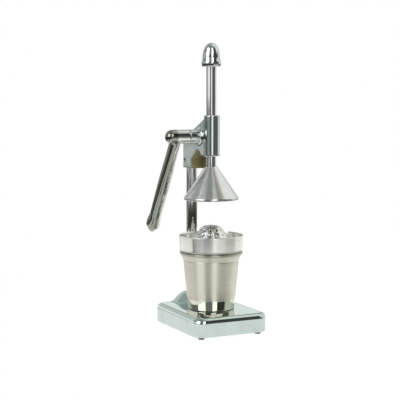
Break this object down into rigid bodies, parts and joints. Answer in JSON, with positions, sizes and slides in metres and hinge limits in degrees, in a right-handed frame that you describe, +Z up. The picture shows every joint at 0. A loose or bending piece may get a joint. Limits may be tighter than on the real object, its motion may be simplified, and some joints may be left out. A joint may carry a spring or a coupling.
{
  "type": "citrus press juicer",
  "caption": "Manual citrus press: a lever drives a rack ram with a cone down onto a perforated dome in a strainer on a cup, on a cast base with a column.",
  "frame": {"origin": "bottom centre of the whole press's box at rest, on the surface it stands on", "axes": "+Z up along the column and ram, +Y from the cup towards the column, +X to the right seen from the cup's side"},
  "size_m": [0.117, 0.1784, 0.3977],
  "materials": {
    "base_chrome": "polished",
    "column_chrome": "polished",
    "head_chrome": "polished",
    "ram_chrome": "polished",
    "knob_chrome": "polished",
    "lever_chrome": "polished",
    "cap_chrome": "polished",
    "cone_aluminium": "satin, turned",
    "cup_steel": "brushed, with a polished band at the foot",
    "strainer_steel": "brushed",
    "foot_rubber": "matt",
    "plain_steel": "zinc plated",
    "gear_steel": "machined",
    "bush_bronze": "sintered"
  },
  "bodies": {
    "stand": {"base_shell": "base_chrome", "foot_front_left": "foot_rubber", "foot_front_right": "foot_rubber", "foot_rear_left": "foot_rubber", "foot_rear_right": "foot_rubber", "column": "column_chrome", "column_bolt": "plain_steel", "column_washer": "plain_steel", "head_casting": "head_chrome", "column_set_screw": "plain_steel", "shaft_bush_left": "bush_bronze", "shaft_bush_right": "bush_bronze", "bearing_cap": "cap_chrome"},
    "lever": {"lever_handle": "lever_chrome", "lever_set_screw": "plain_steel", "pinion_shaft": "gear_steel", "pinion": "gear_steel", "pinion_pin": "plain_steel"},
    "ram": {"ram_rod": "ram_chrome", "ram_knob": "knob_chrome", "press_cone": "cone_aluminium", "cone_screw": "plain_steel"},
    "cup": {"cup": "cup_steel"},
    "strainer": {"strainer": "strainer_steel"}
  },
  "joints": [
    {"name": "lever_pivot", "type": "hinge", "parent": "stand", "child": "lever", "pos_m": [-0.0165, -0.00362, 0.2694], "axis": [1, 0, 0], "range_deg": [0, 270]},
    {"name": "ram_slide", "type": "slide", "parent": "stand", "child": "ram", "axis": [0, 0, -1], "range_m": [0, 0.0531]},
    {"name": "cup_slide", "type": "slide", "parent": "stand", "child": "cup", "axis": [0, -1, 0], "range_m": [0, 0.15]},
    {"name": "strainer_lift", "type": "slide", "parent": "cup", "child": "strainer", "axis": [0, 0, 1], "range_m": [0, 0.01]}
  ],
  "couplings": [
    {"joint": "ram_slide", "follows": "lever_pivot", "m_per_rad": 0.01125}
  ]
}
